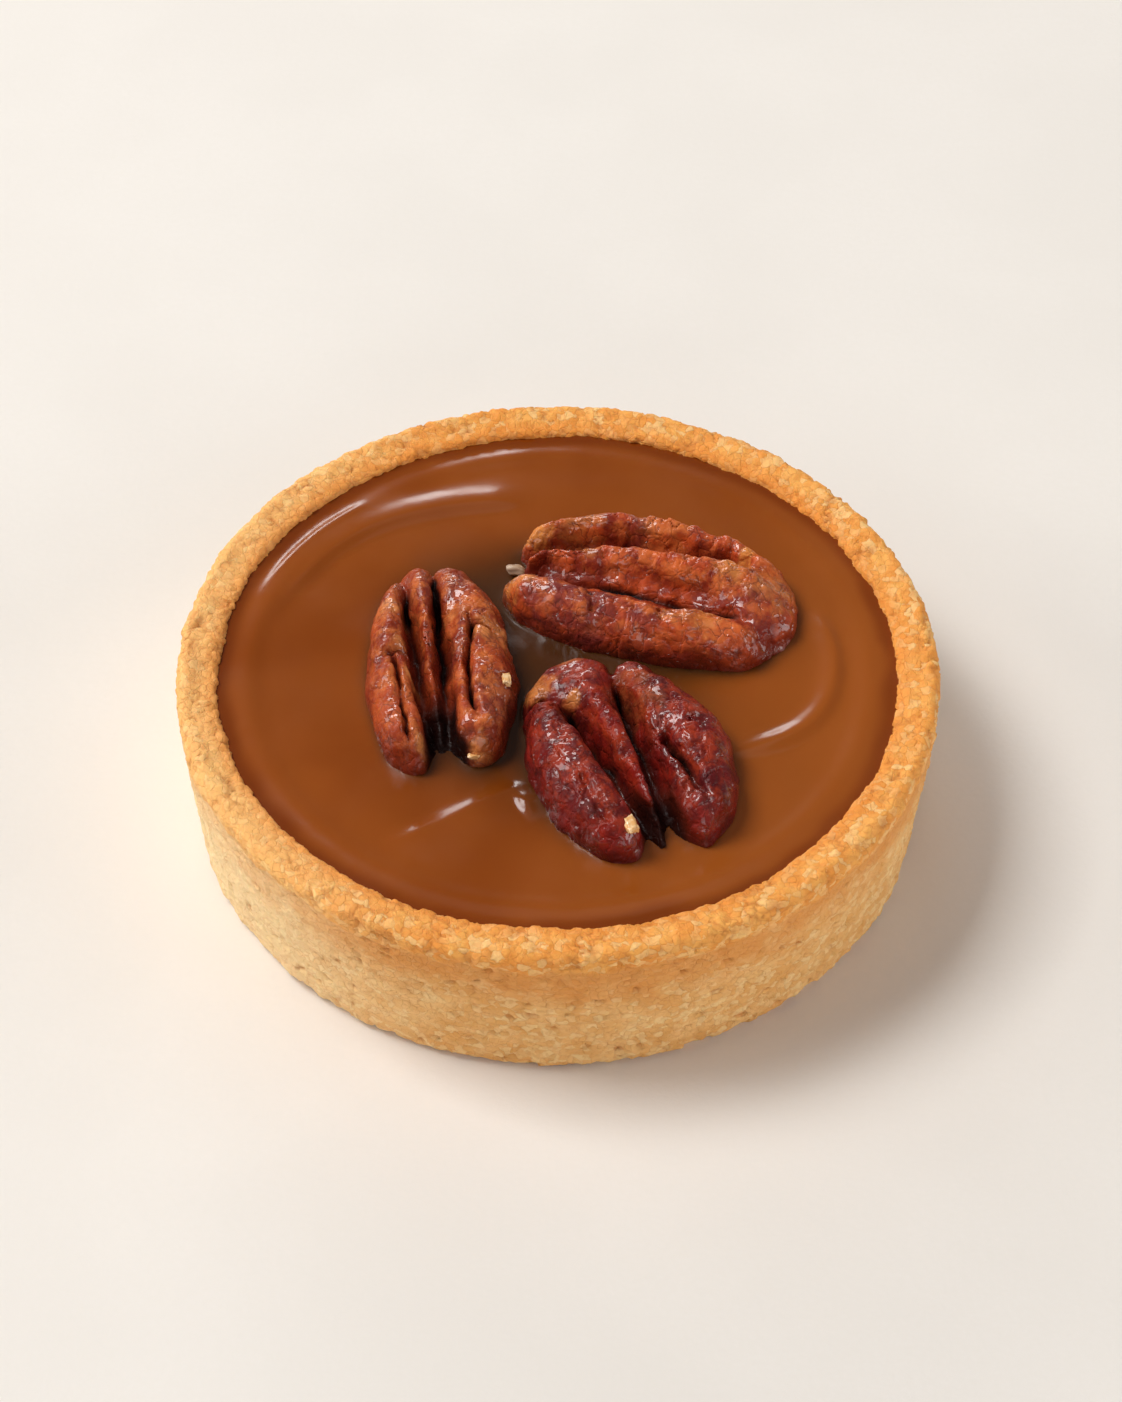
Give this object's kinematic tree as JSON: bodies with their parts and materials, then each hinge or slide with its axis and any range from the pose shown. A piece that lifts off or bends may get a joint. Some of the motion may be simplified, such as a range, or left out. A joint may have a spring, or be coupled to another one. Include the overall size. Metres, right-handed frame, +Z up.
{
  "type": "caramel pecan tartlet",
  "caption": "Round straight-walled shortcrust tartlet, filled almost to the rim with set caramel that is swirled by a spoon and topped with pecan halves.",
  "frame": {"origin": "centre of the flat underside of the crust", "axes": "+Z up, out of the open top; -Y is the side nearest the viewer, +X to the viewer's right"},
  "size_m": [0.0801, 0.0801, 0.0239],
  "materials": {
    "crust": "baked shortcrust, matt and crumbly",
    "caramel": "set caramel, soft gloss",
    "pecan": "syrup-glazed pecan skin, wet gloss"
  },
  "bodies": {
    "root": {"crust": "crust", "caramel": "caramel", "pecan_left": "pecan", "pecan_far": "pecan", "pecan_front": "pecan"}
  },
  "joints": []
}
